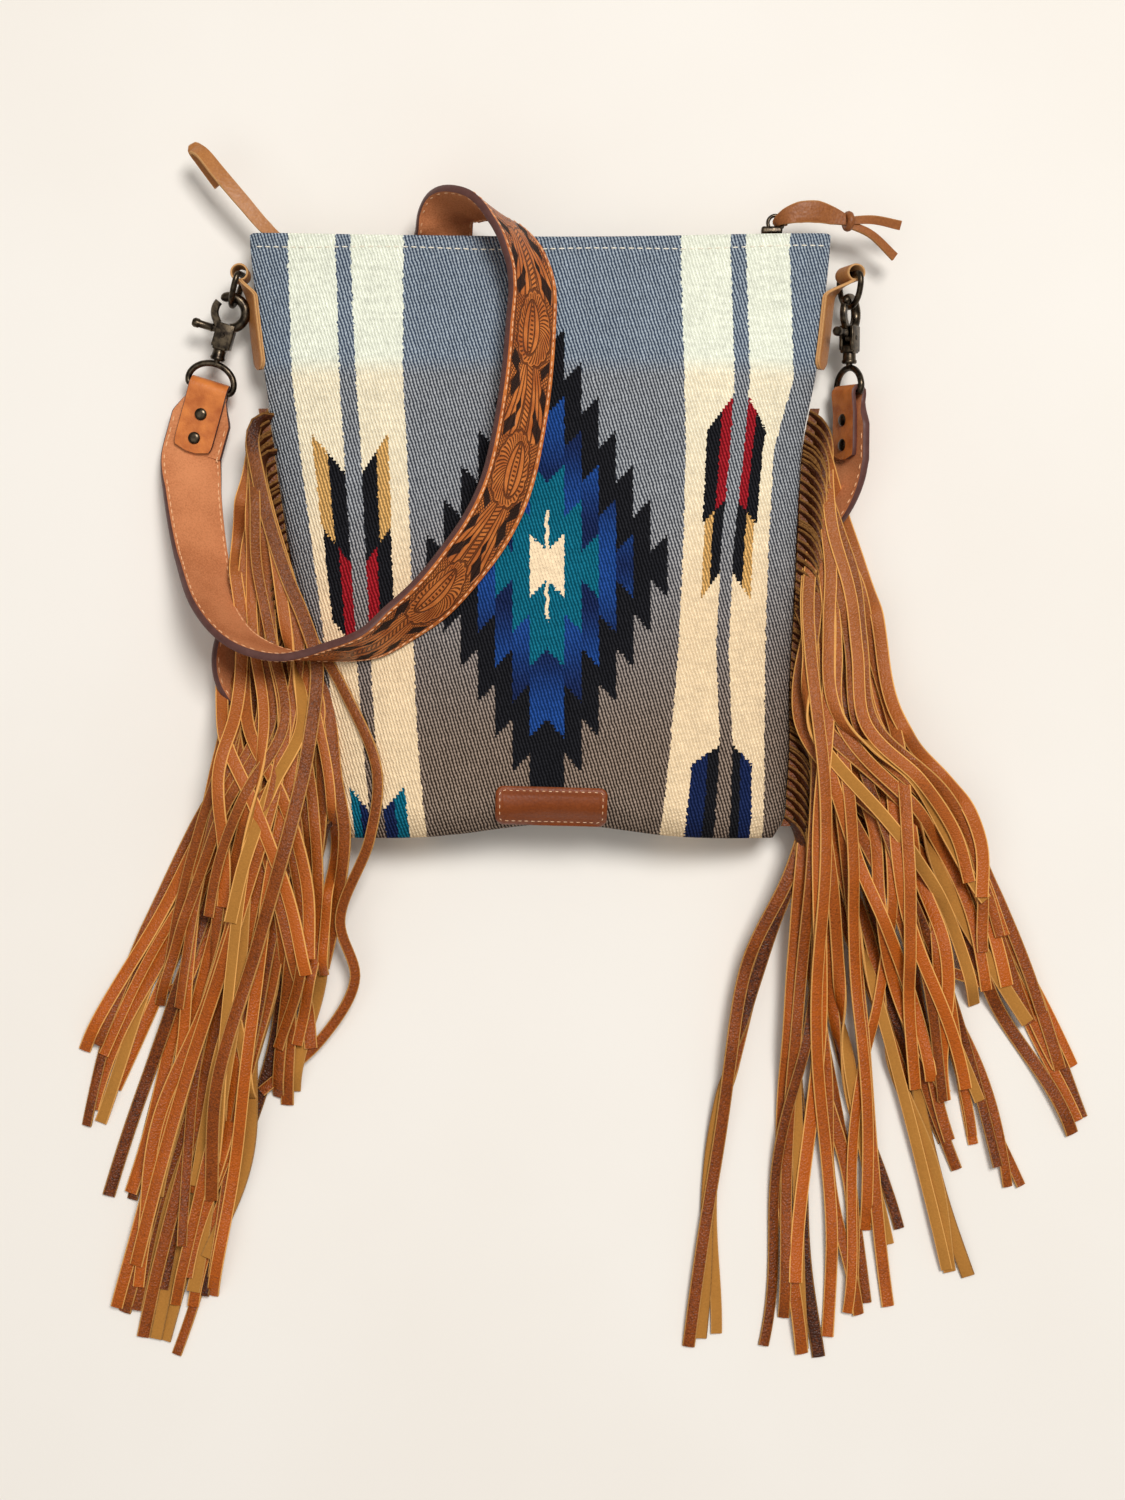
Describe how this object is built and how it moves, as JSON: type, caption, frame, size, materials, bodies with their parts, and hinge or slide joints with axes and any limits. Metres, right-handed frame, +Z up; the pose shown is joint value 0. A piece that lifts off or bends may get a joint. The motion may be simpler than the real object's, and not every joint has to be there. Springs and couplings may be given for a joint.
{
  "type": "crossbody bag",
  "caption": "Woven crossbody bag lying on its back, with long leather fringe down both sides, a zipped mouth and a wide tooled leather strap on swivel snap hooks.",
  "frame": {"origin": "middle of the bounding box at the table", "axes": "+X to the bag's right seen from its front, +Y towards its mouth, +Z up from the table out of its front"},
  "size_m": [0.5374, 0.6408, 0.0863],
  "materials": {
    "woven_cloth": "thick woven wool in grey and cream stripes with a stepped diamond",
    "tooled_leather": "two layers of veg-tanned leather, floral tooled on the grain side, dark edges",
    "fringe_leather": "soft pebbled tan leather cut in strips, suede on the flesh side",
    "tan_leather": "brown leather with pale cut edges",
    "dark_leather": "dark brown smooth leather",
    "patch_leather": "tan leather patch, plain",
    "zip_tape": "dark brown zip tape",
    "dark_metal": "antiqued dark bronze plate"
  },
  "bodies": {
    "bag": {"woven_body": "woven_cloth", "zip_facing_front": "dark_leather", "zip_facing_back": "dark_leather", "zip_tape": "zip_tape", "zip_chain": "dark_metal", "zip_slider": "dark_metal", "zip_thong": "dark_leather", "zip_end_tab": "dark_leather", "leather_patch": "patch_leather", "fringe_left": "fringe_leather", "fringe_right": "fringe_leather", "side_tab_left": "tan_leather", "side_tab_right": "tan_leather", "d_ring_left": "dark_metal", "d_ring_right": "dark_metal", "swivel_eye_left": "dark_metal", "swivel_eye_right": "dark_metal", "tooled_strap": "tooled_leather", "strap_rivet_left_1": "dark_metal", "strap_rivet_left_2": "dark_metal", "strap_rivet_right_1": "dark_metal", "strap_rivet_right_2": "dark_metal"},
    "hook_left": {"snap_hook_left": "dark_metal"},
    "hook_right": {"snap_hook_right": "dark_metal"},
    "lever_left": {"trigger_left": "dark_metal"},
    "lever_right": {"trigger_right": "dark_metal"}
  },
  "joints": [
    {"name": "swivel_left", "type": "hinge", "parent": "bag", "child": "hook_left", "pos_m": [-0.18043, 0.25193, 0.026], "axis": [0.2895, 0.947, 0.1392], "range_deg": [-25, 25]},
    {"name": "swivel_right", "type": "hinge", "parent": "bag", "child": "hook_right", "pos_m": [0.14007, 0.25193, 0.026], "axis": [0, 0.9959, 0.0906], "range_deg": [-12, 4]},
    {"name": "trigger_left", "type": "hinge", "parent": "hook_left", "child": "lever_left", "pos_m": [-0.18998, 0.22068, 0.02141], "axis": [-0.0407, -0.1331, 0.9903], "range_deg": [0, 28], "stiffness_Nm_per_rad": 0.02, "springref_deg": -17.19},
    {"name": "trigger_right", "type": "hinge", "parent": "hook_right", "child": "lever_right", "pos_m": [0.14007, 0.21906, 0.02301], "axis": [0.866, -0.0453, 0.4979], "range_deg": [0, 28], "stiffness_Nm_per_rad": 0.02, "springref_deg": -17.19}
  ]
}
